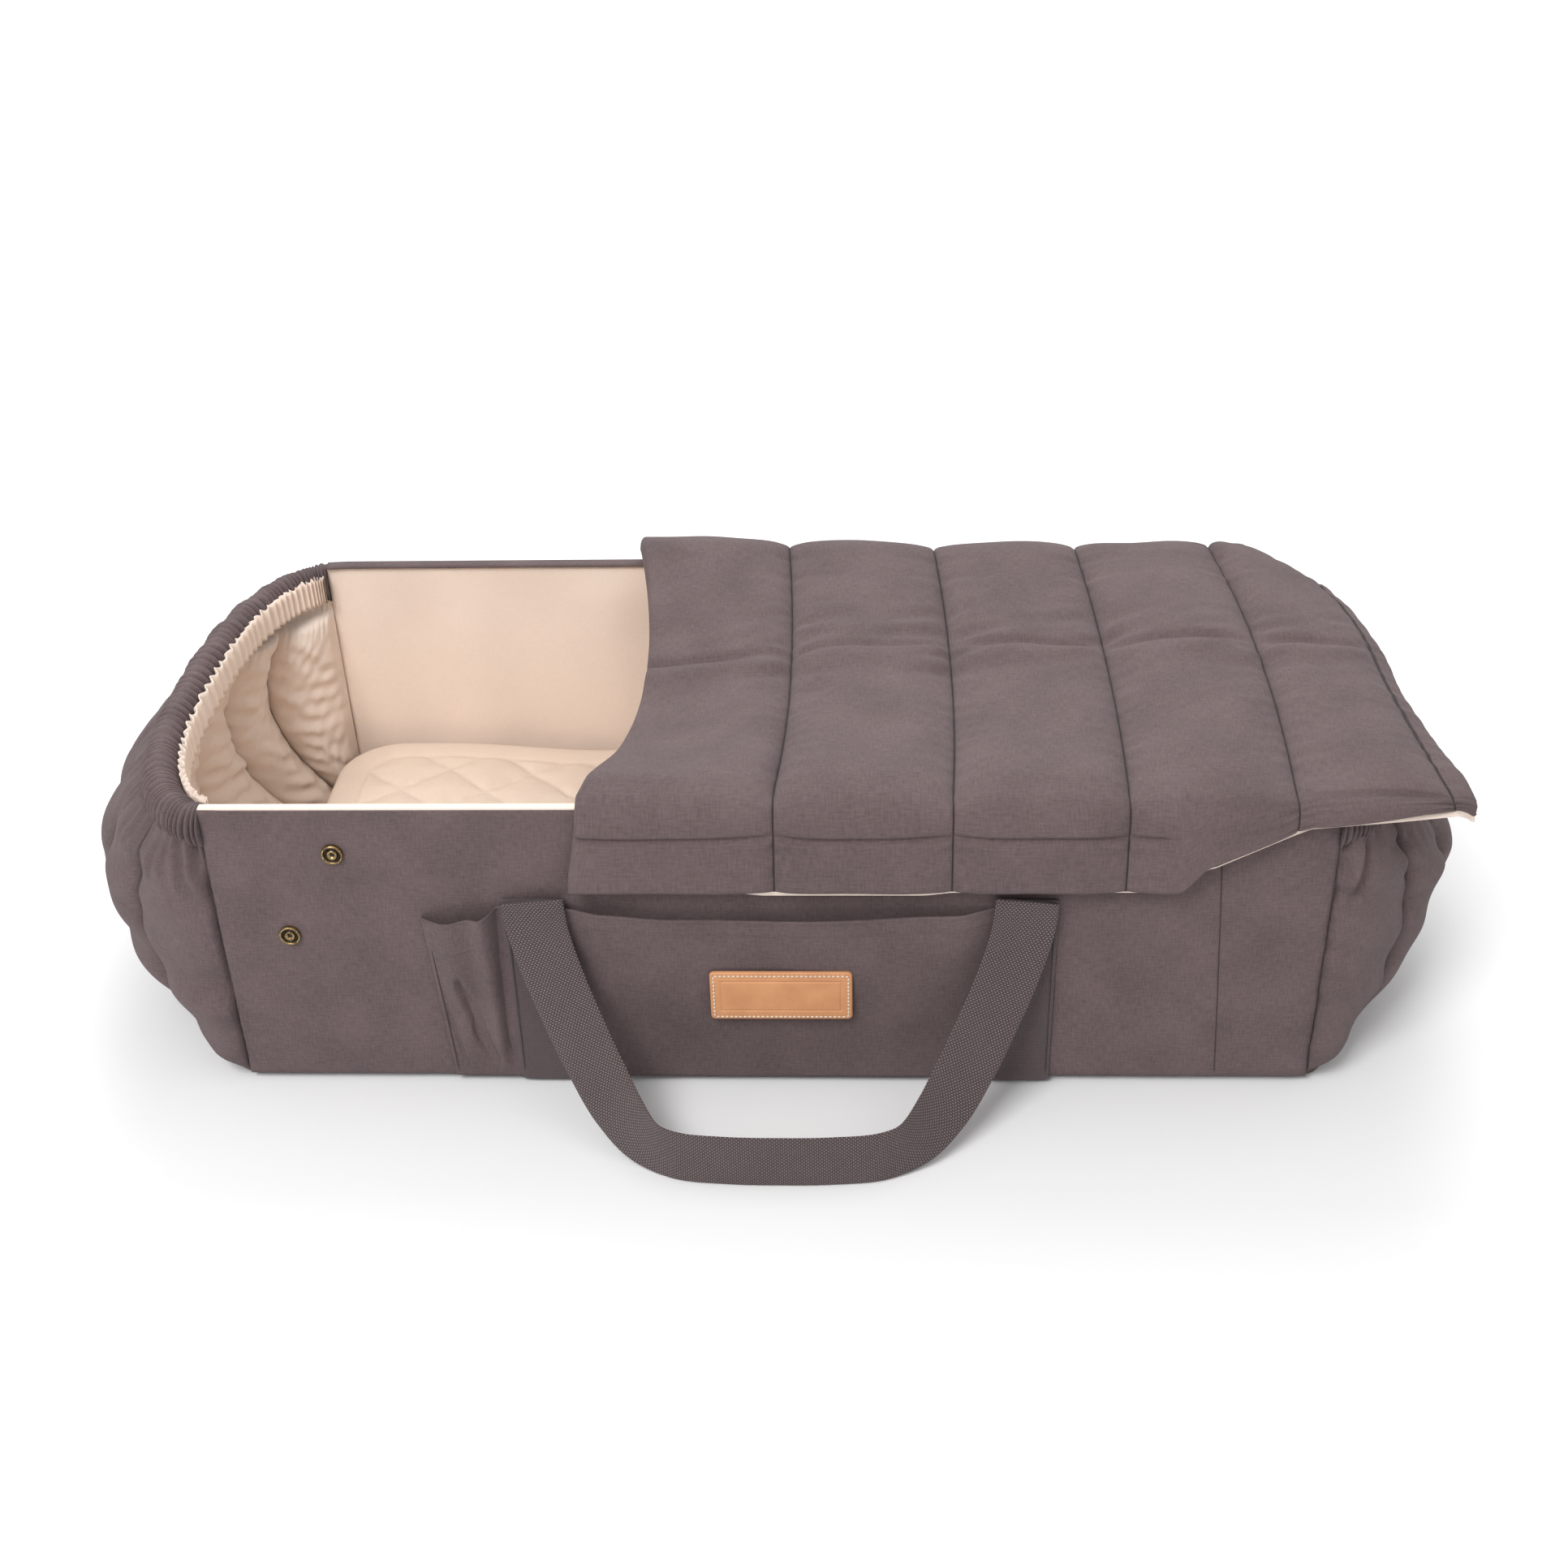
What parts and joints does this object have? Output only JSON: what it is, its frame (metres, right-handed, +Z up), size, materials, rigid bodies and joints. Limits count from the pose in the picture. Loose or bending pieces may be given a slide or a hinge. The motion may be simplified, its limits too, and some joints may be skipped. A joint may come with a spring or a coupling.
{
  "type": "soft baby carry cot",
  "caption": "Soft fabric carry cot for a baby: foam side walls, quilted gathered ends, mattress, fold-back quilted cover, pockets and webbing handles.",
  "frame": {"origin": "on the floor, under the middle of the cot", "axes": "+X towards the foot end, -Y towards the front side with the pockets, +Z up"},
  "size_m": [0.8908, 0.5286, 0.2122],
  "materials": {
    "twill": "dark warm grey plain-weave cotton",
    "lining": "cream peach cotton",
    "webbing": "heavy cotton webbing, basket weave",
    "wadding": "polyester wadding",
    "elastic": "woven elastic band",
    "foam": "polyurethane foam",
    "board": "hardboard",
    "leather": "smooth tan vegetable-tanned leather",
    "brass": "antique brass"
  },
  "bodies": {
    "cot": {"base_board": "board", "bottom_panel": "twill", "carry_strap_foot": "webbing", "carry_strap_head": "webbing", "cover_channel_3": "twill", "cover_channel_4": "twill", "cover_channel_5": "twill", "cover_foot_flap": "twill", "cover_front_flap_foot": "twill", "cover_lining_foot": "lining", "cover_rear_flap_foot": "twill", "foot_end_lining": "lining", "foot_end_outer": "twill", "foot_rim_casing": "twill", "foot_rim_elastic": "elastic", "foot_wadding_1": "wadding", "foot_wadding_2": "wadding", "foot_wadding_3": "wadding", "foot_wadding_4": "wadding", "foot_wadding_5": "wadding", "front_pocket": "twill", "front_stud_lower": "brass", "front_stud_post_lower": "brass", "front_stud_post_upper": "brass", "front_stud_upper": "brass", "front_wall_foam": "foam", "front_wall_lining": "lining", "front_wall_outer": "twill", "head_end_lining": "lining", "head_end_outer": "twill", "head_rim_casing": "twill", "head_rim_elastic": "elastic", "head_wadding_1": "wadding", "head_wadding_2": "wadding", "head_wadding_3": "wadding", "head_wadding_4": "wadding", "head_wadding_5": "wadding", "leather_label": "leather", "mattress_core": "foam", "pen_pocket": "twill", "quilted_sheet": "lining", "rear_stud_lower": "brass", "rear_stud_post_lower": "brass", "rear_stud_post_upper": "brass", "rear_stud_upper": "brass", "rear_wall_foam": "foam", "rear_wall_lining": "lining", "rear_wall_outer": "twill", "sheet_border": "lining"},
    "cover_head_part": {"cover_channel_1": "twill", "cover_channel_2": "twill", "cover_lining_head": "lining", "cover_front_flap_head": "twill", "cover_rear_flap_head": "twill"},
    "front_handle": {"handle_front": "webbing"},
    "rear_handle": {"handle_rear": "webbing"}
  },
  "joints": [
    {"name": "cover_fold_back", "type": "hinge", "parent": "cot", "child": "cover_head_part", "pos_m": [0.108, 0, 0.2145], "axis": [0, 1, 0], "range_deg": [0, 175]},
    {"name": "front_handle_swing", "type": "hinge", "parent": "cot", "child": "front_handle", "pos_m": [0.0073, -0.1745, 0.1425], "axis": [-1, 0, 0], "range_deg": [0, 140]},
    {"name": "rear_handle_swing", "type": "hinge", "parent": "cot", "child": "rear_handle", "pos_m": [0.0073, 0.1745, 0.1425], "axis": [1, 0, 0], "range_deg": [0, 140]}
  ]
}
